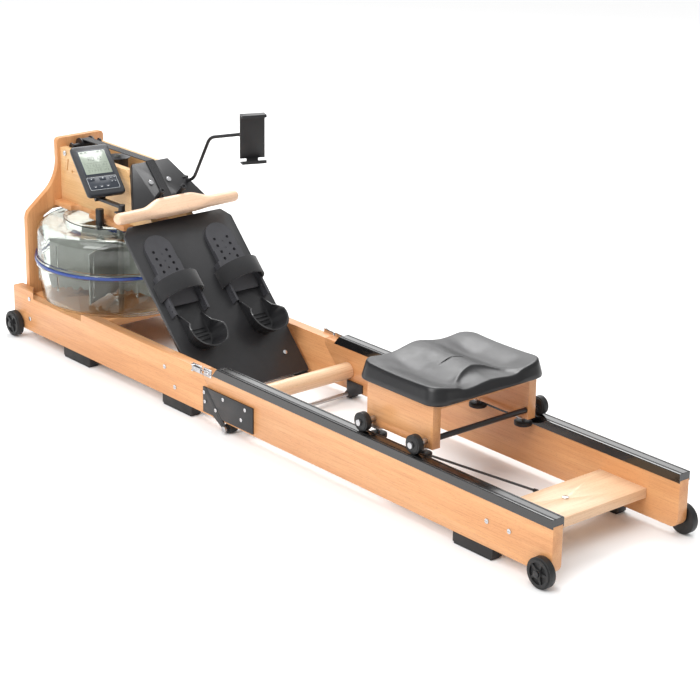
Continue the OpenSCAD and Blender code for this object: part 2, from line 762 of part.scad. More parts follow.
module front_fittings() color("silver") both_sides() {
  axle_bolt(-wheel_x);
  for (p = [[-985, 94], [-985, 36], [-337, 78], [-293, 34]])
    screw_head(p[0], -yo, z0 + p[1], 6, 2.4);
  for (p = [[-161, 60], [-158, 36], [-113, 25]]) screw_head(p[0], -yo - 4, z0 + p[1], 5, 2.2);
  screw_head(pulley_x, -spine_y - spine_t, pulley_z - 16, 7, 4);
  rod_y(pulley_x, -spine_y - spine_t, -spine_y + 7, pulley_z - 16, 3);
  latch_base();
  slope() translate([-624, -29, plate_n + plate_t]) cylinder(h = 2.2, r = 7);
  slope() translate([-64, -128, 0]) cylinder(h = 2.2, r = 6);
}

module rear_fittings() color("silver") {
  both_sides() {
    axle_bolt(wheel_x);
    for (x = [868, 938]) screw_head(x, -yo, z0 + 62, 6, 2.4);
    for (p = [[-82, 63], [8, 62], [-8, 31]]) screw_head(p[0], -yo - 4, z0 + p[1], 5, 2.2);
    latch_keeper();
  }
  // Centre bolt of the plank
  translate([plank_x + 68, 0, plank_z - 4]) cylinder(h = plank_t + 4, r = 4.2);
  translate([plank_x + 68, 0, plank_z + plank_t]) cylinder(h = 3, r = 8);
  translate([plank_x + 68, 0, plank_z - 5]) cylinder(h = 5, r = 8);
}

// Elastic cord from an eye round the cross shaft to the front edge of the plank
module bungee_cord() color("black") {
  zc = plank_z + plank_t / 2;
  dx = plank_x - pivot_x;
  a = atan2(zc - pivot_z, dx);
  len = dx / cos(a);
  difference() {
    union() {
      rod_y(pivot_x, -4.5, 4.5, pivot_z, 12.5);
      translate([pivot_x, 0, pivot_z]) rotate([0, -a, 0]) translate([10, 0, 0]) rotate([0, 90, 0])
        cylinder(h = len - 8, r = 3);
    }
    rod_y(pivot_x, -5, 5, pivot_z, 6.5);
    translate([plank_x, -20, 0]) cube([30, 40, 200]);
  }
}

// ---- seat carriage ----

module seat_cushion() color("dimgray") translate([seat_x, 0, side_z1]) {
  hollow_r = 146;
  difference() {
    translate([0, -seat_w / 2, 0]) rblock(seat_len, seat_w, seat_h, 38);
    // Two long hollows, one each side of a low ridge
    for (s = [-1, 1]) translate([-20, s * 78, seat_h - 10 + hollow_r]) rotate([0, 89, 0])
      cylinder(h = seat_len + 60, r = hollow_r);
    // Relief at the tail
    translate([seat_len + 24, 0, seat_h + 14]) sphere(70);
  }
}

module carriage_boards() color("burlywood") {
  both_sides() difference() {
    translate([side_x0, -side_y - side_t, side_z0]) cube([side_len, side_t, side_z1 - side_z0]);
    for (x = load_x) rod_y(x, -side_y - side_t - 1, -side_y + 1, load_z, 4);
    for (x = rod_x) rod_y(x, -side_y - 4, -side_y + 1, rod_z, 7);
  }
  translate([side_x0, -side_y, side_z1 - 14]) cube([side_len, 2 * side_y, 14]);
}

module carriage_rods() color("black") for (x = rod_x)
  rod_y(x, -side_y - 4, side_y + 4, rod_z, 7);

module carriage_bolts() color("silver") both_sides() {
  for (x = load_x) {
    rod_y(x, -load_y - load_w / 2 - 5, -side_y, load_z, 4);
    rod_y(x, -load_y - load_w / 2 - 6, -load_y - load_w / 2 - 0.5, load_z, 7.5);
    rod_y(x, -load_y + load_w / 2 + 0.5, -side_y - side_t, load_z, 7);
  }
  for (x = guide_x) {
    translate([x - 16, -guide_y - 12, side_z0 - 4]) cube([32, 34, 4]);
    translate([x, -guide_y, guide_z - 3]) cylinder(h = side_z0 - guide_z + 1, r = 4);
    translate([x, -guide_y, guide_z - 4]) cylinder(h = 3.5, r = 7);
  }
}

module load_roller(i) color("black") difference() {
  union() {
    rod_y(load_x[i], -load_y - load_w / 2 + 2, -load_y + load_w / 2 - 2, load_z, roller_r);
    rod_y(load_x[i], -load_y - load_w / 2, -load_y + load_w / 2, load_z, roller_r - 3);
  }
  rod_y(load_x[i], -load_y - load_w, -load_y + load_w, load_z, 4.05);
}

module load_roller_fl() load_roller(0);
module load_roller_rl() load_roller(1);
module load_roller_fr() mirror([0, 1, 0]) load_roller(0);
module load_roller_rr() mirror([0, 1, 0]) load_roller(1);

module guide_roller(i) color("black") translate([guide_x[i], -guide_y, guide_z]) difference() {
  union() {
    translate([0, 0, 1.5]) cylinder(h = guide_h - 3, r = guide_r);
    cylinder(h = guide_h, r = guide_r - 3);
  }
  translate([0, 0, -1]) cylinder(h = guide_h + 2, r = 4.05);
}

module guide_roller_fl() guide_roller(0);
module guide_roller_rl() guide_roller(1);
module guide_roller_fr() mirror([0, 1, 0]) guide_roller(0);
module guide_roller_rr() mirror([0, 1, 0]) guide_roller(1);

// ---- sub-part list ----

front_rails();
headboard();
spine_boards();
cross_boards();
footboard();
upper_plate();
footrests();
foot_straps();
tank_lower();
tank_upper();
seal_ring();
impeller();
fill_plug();
feet_front();
front_fittings();
hinge_leaves_front();
hinge_shaft();
shaft_rollers();
latch_lever_left();
latch_lever_right();
strap_run();
strap_drop();
strap_spool();
head_pulley();
pulley_bracket();
handle();
gooseneck();
holder_back();
holder_jaw();
monitor_arm();
monitor_case();
monitor_screen();
key_left();
key_right();
heel_cup_left();
heel_cup_right();
wheel_front_left();
wheel_front_right();
rear_rails();
roller_tracks();
cross_dowel();
rear_plank();
hinge_leaves_rear();
feet_rear();
rear_fittings();
bungee_cord();
wheel_rear_left();
wheel_rear_right();
seat_cushion();
carriage_boards();
carriage_rods();
carriage_bolts();
load_roller_fl();
load_roller_fr();
load_roller_rl();
load_roller_rr();
guide_roller_fl();
guide_roller_fr();
guide_roller_rl();
guide_roller_rr();
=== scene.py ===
"""Looks of the folding water rowing machine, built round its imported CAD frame.

Metres, X to the rear end, Y to the right-hand rail, Z up from the floor.
"""

import json
import math

import bmesh
import bpy
from mathutils import Matrix, Vector

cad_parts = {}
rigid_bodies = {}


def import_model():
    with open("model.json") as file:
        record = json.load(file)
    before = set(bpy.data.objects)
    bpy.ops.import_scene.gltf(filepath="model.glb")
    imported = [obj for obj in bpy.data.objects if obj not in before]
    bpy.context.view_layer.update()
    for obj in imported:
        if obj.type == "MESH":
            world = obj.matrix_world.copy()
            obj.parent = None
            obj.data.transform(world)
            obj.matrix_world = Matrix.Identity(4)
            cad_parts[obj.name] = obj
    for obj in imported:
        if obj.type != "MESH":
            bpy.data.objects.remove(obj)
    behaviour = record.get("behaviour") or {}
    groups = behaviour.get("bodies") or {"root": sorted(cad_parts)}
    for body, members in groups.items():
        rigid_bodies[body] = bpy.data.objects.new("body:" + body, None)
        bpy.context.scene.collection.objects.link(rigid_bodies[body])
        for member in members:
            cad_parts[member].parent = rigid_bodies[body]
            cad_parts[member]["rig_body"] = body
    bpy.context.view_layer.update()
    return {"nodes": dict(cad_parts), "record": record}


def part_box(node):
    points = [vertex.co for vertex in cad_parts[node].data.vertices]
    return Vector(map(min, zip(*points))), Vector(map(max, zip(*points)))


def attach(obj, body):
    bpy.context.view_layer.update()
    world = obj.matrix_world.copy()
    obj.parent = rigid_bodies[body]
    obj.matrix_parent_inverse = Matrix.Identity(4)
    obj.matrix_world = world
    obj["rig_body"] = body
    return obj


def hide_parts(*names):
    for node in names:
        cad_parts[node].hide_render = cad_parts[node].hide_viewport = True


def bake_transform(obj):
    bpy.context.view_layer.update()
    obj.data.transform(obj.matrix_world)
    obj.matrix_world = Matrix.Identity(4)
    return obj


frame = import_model()

X, Y, Z = Vector((1, 0, 0)), Vector((0, 1, 0)), Vector((0, 0, 1))


# ---- shader helpers ----

def srgb(red, green, blue):
    """A colour given by its screen values, 0 to 255, as linear RGBA."""
    def linear(value):
        value /= 255
        return value / 12.92 if value < 0.04045 else ((value + 0.055) / 1.055) ** 2.4
    return (linear(red), linear(green), linear(blue), 1)


class Shade:
    """A material under construction: short calls for the few node kinds that it uses."""

    def __init__(self, slot, name=None, **sockets):
        self.slot = slot
        self.material = bpy.data.materials.new(name or slot + "_look")
        self.material.use_nodes = True
        self.tree = self.material.node_tree
        self.shader = self.tree.nodes["Principled BSDF"]
        self.shader.location = (600, 0)
        self.where = self.node("ShaderNodeTexCoord").outputs["Object"]
        for socket, value in sockets.items():
            self.shader.inputs[socket.replace("_", " ")].default_value = value

    def node(self, kind, **settings):
        made = self.tree.nodes.new(kind)
        for key, value in settings.items():
            setattr(made, key, value)
        return made

    def put(self, made, **inputs):
        """Links or sets a node's inputs by name."""
        for key, value in inputs.items():
            socket = made.inputs[key.replace("_", " ")]
            if isinstance(value, bpy.types.NodeSocket):
                self.tree.links.new(value, socket)
            else:
                socket.default_value = value
        return made

    def drive(self, **inputs):
        self.put(self.shader, **inputs)
        return self

    def stretched(self, sizes):
        """Coordinates in which a feature of these sizes, in metres, measures 1."""
        scale = tuple(1 / size for size in sizes)
        return self.put(self.node("ShaderNodeMapping"), Vector=self.where, Scale=scale).outputs["Vector"]

    def rotated(self, where, angle):
        return self.put(self.node("ShaderNodeMapping"), Vector=where,
                        Rotation=(0, 0, angle)).outputs["Vector"]

    def noise(self, where, detail=2.0, distortion=0.0, roughness=0.5):
        return self.put(self.node("ShaderNodeTexNoise"), Vector=where, Scale=1.0, Detail=detail,
                        Distortion=distortion, Roughness=roughness).outputs["Fac"]

    def wave(self, where, direction="X", scale=1.0, distortion=0.0):
        made = self.node("ShaderNodeTexWave", bands_direction=direction)
        return self.put(made, Vector=where, Scale=scale, Distortion=distortion).outputs["Fac"]

    def ramp(self, fac, *stops):
        """Colours or grey values by position: (position, colour or number) pairs."""
        made = self.put(self.node("ShaderNodeValToRGB"), Fac=fac)
        points = made.color_ramp.elements
        while len(points) < len(stops):
            points.new(0.5)
        for point, (position, colour) in zip(points, stops):
            point.position = position
            point.color = colour if isinstance(colour, tuple) else (colour, colour, colour, 1)
        return made.outputs["Color"]

    def put_at(self, made, values):
        """Links or sets a node's inputs by number."""
        for index, value in values:
            if isinstance(value, bpy.types.NodeSocket):
                self.tree.links.new(value, made.inputs[index])
            else:
                made.inputs[index].default_value = value
        return made

    def mix(self, fac, a, b):
        made = self.node("ShaderNodeMix", data_type="RGBA")
        return self.put_at(made, ((0, fac), (6, a), (7, b))).outputs[2]

    def maths(self, operation, a, b=0.0):
        made = self.node("ShaderNodeMath", operation=operation)
        return self.put_at(made, enumerate((a, b))).outputs[0]

    def bump(self, height, distance, strength=1.0):
        made = self.put(self.node("ShaderNodeBump"), Height=height, Distance=distance, Strength=strength)
        return made.outputs["Normal"]

    def painted_edge_highlight(self, radius=0.0015):
        """0 on flat faces, rising to 1 on the part's convex edges, where a highlight is painted."""
        bevel = self.put(self.node("ShaderNodeBevel", samples=4), Radius=radius).outputs["Normal"]
        plain = self.node("ShaderNodeNewGeometry").outputs["Normal"]
        made = self.node("ShaderNodeVectorMath", operation="DOT_PRODUCT")
        self.tree.links.new(bevel, made.inputs[0])
        self.tree.links.new(plain, made.inputs[1])
        return self.ramp(made.outputs["Value"], (0.75, 1.0), (0.97, 0.0))


# ---- materials ----

def wood(slot, name, along, light, dark):
    """Varnished beech, with its grain along one axis: broad bands, fine streaks and short ray flecks."""
    s = Shade(slot, name, Coat_Weight=0.25, Coat_Roughness=0.16)

    def sizes(length, width):
        return tuple(length if axis == along else width for axis in "XYZ")
    bands = s.noise(s.stretched(sizes(0.9, 0.05)), detail=4, distortion=0.5, roughness=0.55)
    rings = s.wave(s.stretched(sizes(2.2, 0.03)), "DIAGONAL", scale=0.5, distortion=7)
    streaks = s.noise(s.stretched(sizes(0.11, 0.0028)), detail=3, roughness=0.6)
    flecks = s.ramp(s.noise(s.stretched(sizes(0.0075, 0.0011)), detail=1), (0.60, 0.0), (0.70, 1.0))
    tone = s.mix(s.ramp(bands, (0.28, 0.0), (0.74, 1.0)), light, dark)
    tone = s.mix(s.maths("MULTIPLY", rings, 0.22), tone, dark)
    brown = (dark[0] * 0.62, dark[1] * 0.5, dark[2] * 0.4, 1)
    tone = s.mix(s.ramp(streaks, (0.46, 0.0), (0.80, 0.42)), tone, brown)
    tone = s.mix(s.maths("MULTIPLY", flecks, 0.34), tone, brown)
    grain = s.maths("ADD", s.maths("MULTIPLY", streaks, 0.6), s.maths("MULTIPLY", flecks, -0.5))
    s.drive(Base_Color=tone, Normal=s.bump(grain, 0.0002, 0.6),
            Roughness=s.ramp(streaks, (0.3, 0.31), (0.75, 0.46)))
    return s


def moulded(slot, colour, roughness, name=None, grain=0.0006, depth=0.00006, **sockets):
    """Moulded plastic or powder-coated metal: fine erosion grain, faint mottling, and a painted highlight
    that makes convex edges paler.
    """
    s = Shade(slot, name, **sockets)
    fine = s.noise(s.stretched((grain,) * 3), detail=2, roughness=0.6)
    broad = s.noise(s.stretched((0.03,) * 3), detail=4, roughness=0.6)
    # The paler colour of the painted highlight on convex edges
    pale = tuple(min(1, channel * 1.8 + 0.012) for channel in colour[:3]) + (1,)
    deep = tuple(channel * 0.8 for channel in colour[:3]) + (1,)
    tone = s.mix(s.ramp(broad, (0.3, 0.0), (0.7, 1.0)), colour, deep)
    # Painted highlight: convex edges mixed halfway towards the paler colour
    tone = s.mix(s.maths("MULTIPLY", s.painted_edge_highlight(), 0.5), tone, pale)
    s.drive(Base_Color=tone, Normal=s.bump(fine, depth, 0.8),
            Roughness=s.ramp(broad, (0.3, roughness - 0.04), (0.7, roughness + 0.06)))
    return s


def metal(slot, colour, roughness, brushed=None):
    """Plated steel, with fine scratches along one axis or in every direction."""
    s = Shade(slot, Metallic=1.0)
    sizes = tuple(0.02 if axis == brushed else 0.0004 for axis in "XYZ")
    lines = s.noise(s.stretched(sizes), detail=2)
    cloud = s.noise(s.stretched((0.012,) * 3), detail=3)
    tone = s.mix(s.ramp(cloud, (0.3, 0.0), (0.7, 0.6)), colour, tuple(c * 0.7 for c in colour[:3]) + (1,))
    s.drive(Base_Color=tone, Normal=s.bump(lines, 0.00003, 0.5),
            Roughness=s.ramp(cloud, (0.3, roughness), (0.7, roughness + 0.12)))
    return s


def clear_plastic():
    """Clear polycarbonate; lamps' rays pass straight through it, so that the tank isn't dark inside."""
    s = Shade("clear_tank", Base_Color=srgb(236, 240, 236), Roughness=0.03, IOR=1.42,
              Transmission_Weight=1.0)
    flow = s.noise(s.stretched((0.09, 0.09, 0.3)), detail=2, distortion=0.6)
    s.drive(Normal=s.bump(flow, 0.003, 0.5))
    passing = s.put(s.node("ShaderNodeBsdfTransparent"), Color=(0.93, 0.95, 0.96, 1))
    mixed = s.node("ShaderNodeMixShader")
    lamp_ray = s.node("ShaderNodeLightPath").outputs["Is Shadow Ray"]
    for index, source in enumerate((lamp_ray, s.shader.outputs[0], passing.outputs[0])):
        s.tree.links.new(source, mixed.inputs[index])
    s.tree.links.new(mixed.outputs[0], s.tree.nodes["Material Output"].inputs["Surface"])
    return s


def woven(slot, colour, pitch=0.0016):
    """Flat webbing, from its own coordinates in metres: u across, v along."""
    s = Shade(slot, Sheen_Weight=0.3, Sheen_Roughness=0.4)
    uv = s.node("ShaderNodeTexCoord").outputs["UV"]
    # A wave texture of scale 1 repeats every pi / 10
    across = s.wave(uv, "X", scale=0.42 / pitch)
    along = s.wave(uv, "Y", scale=0.314 / pitch)
    twill = s.maths("MULTIPLY", across, along)
    tone = s.mix(twill, tuple(c * 0.45 for c in colour[:3]) + (1,), colour)
    s.drive(Base_Color=tone, Roughness=s.ramp(twill, (0.0, 0.85), (1.0, 0.6)),
            Normal=s.bump(twill, 0.0002, 0.6))
    return s


def braided():
    """Elastic cord's woven sleeve: two sets of threads wound in opposite directions."""
    s = Shade("cord", Sheen_Weight=0.25)
    uv = s.node("ShaderNodeTexCoord").outputs["UV"]
    one, two = (s.wave(s.rotated(uv, angle), "X", scale=90) for angle in (0.9, -0.9))
    threads = s.maths("MAXIMUM", one, two)
    s.drive(Base_Color=s.mix(threads, srgb(16, 16, 17), srgb(52, 52, 54)),
            Roughness=s.ramp(threads, (0, 0.9), (1, 0.6)), Normal=s.bump(threads, 0.0005, 0.8))
    return s


BEECH_LIGHT, BEECH_DARK = srgb(223, 168, 116), srgb(200, 137, 86)
beech = {axis: wood("beech", "beech_" + axis.lower(), axis, BEECH_LIGHT, BEECH_DARK) for axis in "XYZ"}
pale = {axis: wood("pale_wood", "pale_wood_" + axis.lower(), axis, srgb(238, 208, 174), srgb(224, 184, 146))
        for axis in "XYZ"}
spine_wood = wood("beech", "spine_wood", "X", srgb(232, 196, 146), srgb(215, 170, 116))
handle_wood = wood("pale_wood", "handle_wood", "Y", srgb(238, 206, 178), srgb(226, 188, 156))
black_board = moulded("black_board", srgb(40, 40, 42), 0.34, grain=0.0009)
black_steel = moulded("black_steel", srgb(34, 34, 36), 0.34, grain=0.0012, depth=0.00012)
black_plastic = moulded("black_plastic", srgb(27, 27, 29), 0.36)
grey_plastic = moulded("grey_plastic", srgb(62, 62, 66), 0.40)
clear_tank = clear_plastic()
blue_seal = moulded("blue_seal", srgb(30, 62, 138), 0.30, Coat_Weight=0.3)
paddle = moulded("paddle", srgb(128, 129, 124), 0.40)
rubber = moulded("rubber", srgb(24, 24, 25), 0.50, grain=0.0011, depth=0.0001)
zinc = metal("zinc", srgb(196, 196, 198), 0.26, brushed="X")
chrome = metal("chrome", srgb(214, 214, 216), 0.14)
webbing = woven("webbing", srgb(40, 40, 43))
cord = braided()
track = moulded("track", srgb(14, 14, 15), 0.13, grain=0.002, depth=0.00003, Coat_Weight=0.6,
                Coat_Roughness=0.1)
monitor_shell = moulded("monitor_shell", srgb(26, 29, 35), 0.32)
lcd = moulded("lcd", srgb(150, 160, 146), 0.2, grain=0.0003, depth=0.00001, Coat_Weight=0.6,
              Coat_Roughness=0.05)
keycap = moulded("keycap", srgb(30, 38, 50), 0.40)
lcd_ink = moulded("lcd", srgb(58, 66, 60), 0.3, "lcd_ink_look", grain=0.0003, depth=0.00001)
pale_ink = moulded("keycap", srgb(206, 212, 216), 0.4, "pale_ink_look", grain=0.0003, depth=0.00001)
seat_skin = moulded("seat_skin", srgb(24, 24, 26), 0.32, grain=0.0014, depth=0.00008)


# ---- mesh helpers ----

def link(name, mesh, shade, smooth_angle=32):
    """A new object of this mesh and material, smooth apart from edges sharper than the angle."""
    piece = bpy.data.objects.new(name, mesh)
    bpy.context.scene.collection.objects.link(piece)
    mesh.materials.clear()
    mesh.materials.append(shade.material)
    mesh.polygons.foreach_set("use_smooth", [True] * len(mesh.polygons))
    mesh.set_sharp_from_angle(angle=math.radians(smooth_angle))
    return piece


def finished(name, bm, shade, body, *nodes, smooth_angle=32):
    """Turns a bmesh into a piece that rides on a body and stands for these CAD nodes."""
    mesh = bpy.data.meshes.new(name)
    bmesh.ops.recalc_face_normals(bm, faces=bm.faces)
    bm.to_mesh(mesh)
    bm.free()
    piece = link(name, mesh, shade, smooth_angle)
    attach(piece, body)
    if nodes:
        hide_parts(*nodes)
    return piece


def round_edges(bm, width, segments=2, angle=32):
    """Bevels the edges that are sharper than the angle."""
    limit = math.radians(angle)
    sharp = [e for e in bm.edges if e.is_manifold and e.calc_face_angle(0) > limit]
    bmesh.ops.bevel(bm, geom=sharp, offset=width, segments=segments, profile=0.5, affect="EDGES",
                    clamp_overlap=True)


def node_mesh(node):
    """A CAD node's mesh as a bmesh, with its triangles joined into flat faces."""
    bm = bmesh.new()
    bm.from_mesh(frame["nodes"][node].data)
    bmesh.ops.remove_doubles(bm, verts=bm.verts, dist=1e-6)
    bmesh.ops.dissolve_limit(bm, angle_limit=math.radians(1), verts=bm.verts, edges=bm.edges)
    return bm


def softened(node, shade, width, segments=2):
    """The CAD node's own shape with its edges rounded."""
    bm = node_mesh(node)
    round_edges(bm, width, segments)
    return finished(node + "_piece", bm, shade, frame["nodes"][node]["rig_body"], node)


# ---- studio ----

def add_camera():
    azimuth, elevation, roll = (math.radians(a) for a in (49.51, 19.53, 0.733))
    right = Vector((math.cos(azimuth), math.sin(azimuth), 0))
    back = Vector((math.sin(azimuth) * math.cos(elevation), -math.cos(azimuth) * math.cos(elevation),
                   math.sin(elevation)))
    up = back.cross(right)
    axes = (right * math.cos(roll) + up * math.sin(roll),
            up * math.cos(roll) - right * math.sin(roll), back)
    camera = bpy.data.objects.new("camera", bpy.data.cameras.new("camera"))
    bpy.context.scene.collection.objects.link(camera)
    camera.matrix_world = Matrix.Translation((3.941, -3.239, 2.008)) @ Matrix(axes).transposed().to_4x4()
    camera.data.sensor_width = 36
    camera.data.lens = 110.4
    bpy.context.scene.camera = camera


def place_lamp(name, lamp, place, direction):
    holder = bpy.data.objects.new(name, lamp)
    bpy.context.scene.collection.objects.link(holder)
    aim = direction.to_track_quat("-Z", "Y")
    holder.matrix_world = Matrix.Translation(place) @ aim.to_matrix().to_4x4()


def add_light(name, place, target, size, watts):
    lamp = bpy.data.lights.new(name, "AREA")
    lamp.shape = "SQUARE"
    lamp.size = size
    lamp.energy = watts
    place_lamp(name, lamp, place, Vector(target) - Vector(place))


def add_sun():
    lamp = bpy.data.lights.new("broad", "SUN")
    lamp.energy = 1.1
    lamp.angle = math.radians(50)
    place_lamp("broad", lamp, (0, -3, 5), Vector((-0.15, 0.55, -1)))


def add_sky():
    """White surroundings, bright overhead and dimmer at the horizon."""
    world = bpy.data.worlds.new("studio")
    bpy.context.scene.world = world
    world.use_nodes = True
    tree = world.node_tree
    direction = tree.nodes.new("ShaderNodeTexCoord").outputs["Generated"]
    height = tree.nodes.new("ShaderNodeSeparateXYZ")
    tree.links.new(direction, height.inputs[0])
    ramp = tree.nodes.new("ShaderNodeValToRGB")
    tree.links.new(height.outputs["Z"], ramp.inputs[0])
    for element, place, level in zip(ramp.color_ramp.elements, (0.05, 0.75), (0.42, 1.0)):
        element.position = place
        element.color = (level, level, level, 1)
    background = tree.nodes["Background"]
    tree.links.new(ramp.outputs[0], background.inputs["Color"])
    background.inputs["Strength"].default_value = 0.78


def add_studio():
    half = 30
    mesh = bpy.data.meshes.new("floor")
    corners = [(-half, -half, 0), (half, -half, 0), (half, half, 0), (-half, half, 0)]
    mesh.from_pydata(corners, [], [(0, 1, 2, 3)])
    paper = Shade("floor", Roughness=0.9)
    cloud = paper.noise(paper.stretched((2.0,) * 3), detail=2)
    paper.drive(Base_Color=paper.ramp(cloud, (0.3, 0.93), (0.7, 0.94)))
    floor = link("floor", mesh, paper)
    floor.location.z = -0.0005
    add_sky()
    add_sun()
    add_light("key", (0.9, -4.4, 2.6), (0, 0, 0.2), 2.6, 120)
    add_light("back", (-2.9, 3.4, 2.5), (0, 0, 0.2), 3.0, 42)
    add_light("top", (-1.6, 1.2, 3.6), (0.1, 0, 0.2), 2.0, 105)
    bpy.context.scene.view_settings.view_transform = "Standard"


add_camera()
add_studio()


# ---- curved pieces ----

def rounded_rectangle(half_x, half_y, radius, corner=8, side=12):
    """Points round a rectangle with round corners, evenly spread along its sides."""
    points = []
    for turn, (cx, cy) in enumerate(((1, 1), (-1, 1), (-1, -1), (1, -1))):
        middle = Vector((cx * (half_x - radius), cy * (half_y - radius), 0))
        arc = [middle + radius * Vector((math.cos(a), math.sin(a), 0)) for a in
               (math.pi / 2 * (turn + k / corner) for k in range(corner + 1))]
        points += arc
        nx, ny = ((-1, 1), (-1, -1), (1, -1), (1, 1))[turn]
        follower = Vector((nx * (half_x - radius), ny * (half_y - radius), 0))
        angle = math.pi / 2 * (turn + 1)
        start = arc[-1]
        end = follower + radius * Vector((math.cos(angle), math.sin(angle), 0))
        points += [start.lerp(end, k / side) for k in range(1, side)]
    return points


def lofted(bm, rings, close_start=True, close_end=True):
    """Skins closed rings of equal length, in order, and caps the two ends."""
    layers = [[bm.verts.new(p) for p in ring] for ring in rings]
    count = len(rings[0])
    for one, two in zip(layers, layers[1:]):
        for k in range(count):
            bm.faces.new((one[k], one[(k + 1) % count], two[(k + 1) % count], two[k]))
    for layer, wanted in ((layers[0], close_start), (layers[-1], close_end)):
        if wanted:
            bm.faces.new(layer)
    return layers


def smooth_step(value, low, high):
    t = min(1, max(0, (value - low) / (high - low)))
    return t * t * (3 - 2 * t)


def block(bm, low, high, place=Matrix.Identity(4)):
    """A box between two corners, moved by a matrix."""
    middle = (Vector(low) + Vector(high)) / 2
    size = Vector(high) - Vector(low)
    bmesh.ops.create_cube(bm, size=1,
                          matrix=place @ Matrix.Translation(middle) @ Matrix.Diagonal((*size, 1)))


def turned(bm, profile, place, steps):
    """A solid of revolution about local Z from (radius, height) pairs that start and end on the axis."""
    rings = [[place @ Vector((r * math.cos(a), r * math.sin(a), h)) for a in
              (2 * math.pi * k / steps for k in range(steps))] for r, h in profile if r > 0]
    layers = lofted(bm, rings, False, False)
    for layer, (_, height) in ((layers[0], profile[0]), (layers[-1], profile[-1])):
        tip = bm.verts.new(place @ Vector((0, 0, height)))
        for k in range(steps):
            bm.faces.new((layer[k], layer[(k + 1) % steps], tip))


# ---- seat ----

def seat_height(u, v):
    """Height of the seat's skin over its base: u runs 0 to 1 from front to tail, v from -1 to 1 across."""
    scoop = math.exp(-((abs(v) - 0.50) / 0.30) ** 2) * (0.30 + 0.70 * smooth_step(u, 0.0, 0.42))
    scoop *= 1 - 0.40 * smooth_step(u, 0.72, 1.0)
    ridge = math.exp(-(v / 0.22) ** 2) * (1 - smooth_step(u, 0.05, 0.85))
    bowl = max(0.0, 1 - ((u - 1.03) / 0.30) ** 2 - (v / 0.56) ** 2) ** 0.6
    side_dip = math.sin(math.pi * u) * abs(v) ** 3
    return 0.0480 - 0.0235 * scoop + 0.0058 * ridge - 0.0170 * bowl - 0.0045 * side_dip


def add_seat():
    low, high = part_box("seat_cushion")
    middle = (low + high) / 2
    half = (high - low) / 2
    outline = rounded_rectangle(half.x, half.y, 0.040, corner=14, side=30)
    wall_foot, taper, edge_r = 0.0056, 0.0072, 0.0055
    skin_inset, skin_rings = 0.0133, 44
    rings = []

    def ring(inset, height_at):
        """The outline drawn in by inset, at a height that may follow the skin."""
        shrink_x, shrink_y = 1 - inset / half.x, 1 - inset / half.y
        made = []
        for p in outline:
            x, y = p.x * shrink_x, p.y * shrink_y
            u, v = (x + half.x) / (2 * half.x), y / half.y
            made.append(Vector((middle.x + x, middle.y + y, low.z + height_at(seat_height(u, v)))))
        rings.append(made)
    # Underside and lower edge
    for inset, height in ((0.012, 0.0), (0.004, 0.0004), (0.0012, 0.0024), (0.0006, wall_foot)):
        ring(inset, lambda top: height)
    # Wall, leaning in by its taper
    for share in (0.3, 0.55, 0.8):
        ring(0.0006 + taper * share, lambda top: wall_foot + (top - 0.0105) * share)
    # Rounded upper edge
    for turn in (20, 42, 64, 90):
        a = math.radians(turn)
        ring(0.0006 + taper + edge_r * (1 - math.cos(a)), lambda top: top - edge_r * (1 - math.sin(a)))
    # Skin, drawn in ring by ring to the middle
    for k in range(1, skin_rings):
        ring(skin_inset + (half.x - skin_inset) * k / skin_rings, lambda top: top)
    bm = bmesh.new()
    lofted(bm, rings)
    finished("seat_pad", bm, seat_skin, "carriage", "seat_cushion", smooth_angle=60)


# ---- tracks ----

def add_tracks():
    """Black caps over the rear rails, with fine ribs beside the rollers' path."""
    low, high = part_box("roller_tracks")
    width, bevel, corner = 0.034, 0.0022, 0.0007
    lip, lip_z = 0.002, low.z + 0.005
    pitch, depth = 0.0028, 0.0011
    near, far = 0.004, 0.0095
    top = [(bevel, high.z)]
    for first, last in ((near, far), (width - far, width - near)):
        for k in range(int((last - first) / pitch) + 1):
            y = first + k * pitch
            top += [(y, high.z), (y + 0.0005, high.z - depth), (y + pitch - 0.0012, high.z - depth),
                    (y + pitch - 0.0007, high.z)]
    top.append((width - bevel, high.z))
    section = [(0, low.z), (0, high.z - bevel), (corner, high.z - corner), *top,
               (width - corner, high.z - corner), (width, high.z - bevel), (width, low.z),
               (width - lip, low.z), (width - lip, lip_z), (lip, lip_z), (lip, low.z)]
    bm = bmesh.new()
    for side in (-1, 1):
        outer = side * high.y
        rings = [[Vector((x + slant * (z - low.z), outer - side * y, z)) for y, z in section]
                 for x, slant in ((low.x, 0.84), (low.x + 0.03, 0), (high.x, 0))]
        lofted(bm, rings)
    bmesh.ops.triangulate(bm, faces=[f for f in bm.faces if len(f.verts) > 4])
    finished("track_caps", bm, track, "rear_frame", "roller_tracks", smooth_angle=20)


# ---- handle and strap ----

# The footboard's frame: local -X climbs the slope and Z stands off it
SLOPE = Matrix.Translation((-0.225, 0, 0.042)) @ Matrix.Rotation(math.radians(46), 4, "Y")
# The handle's middle: its distance up the slope and its height over the slope
HANDLE_S, HANDLE_N = 0.529, 0.030


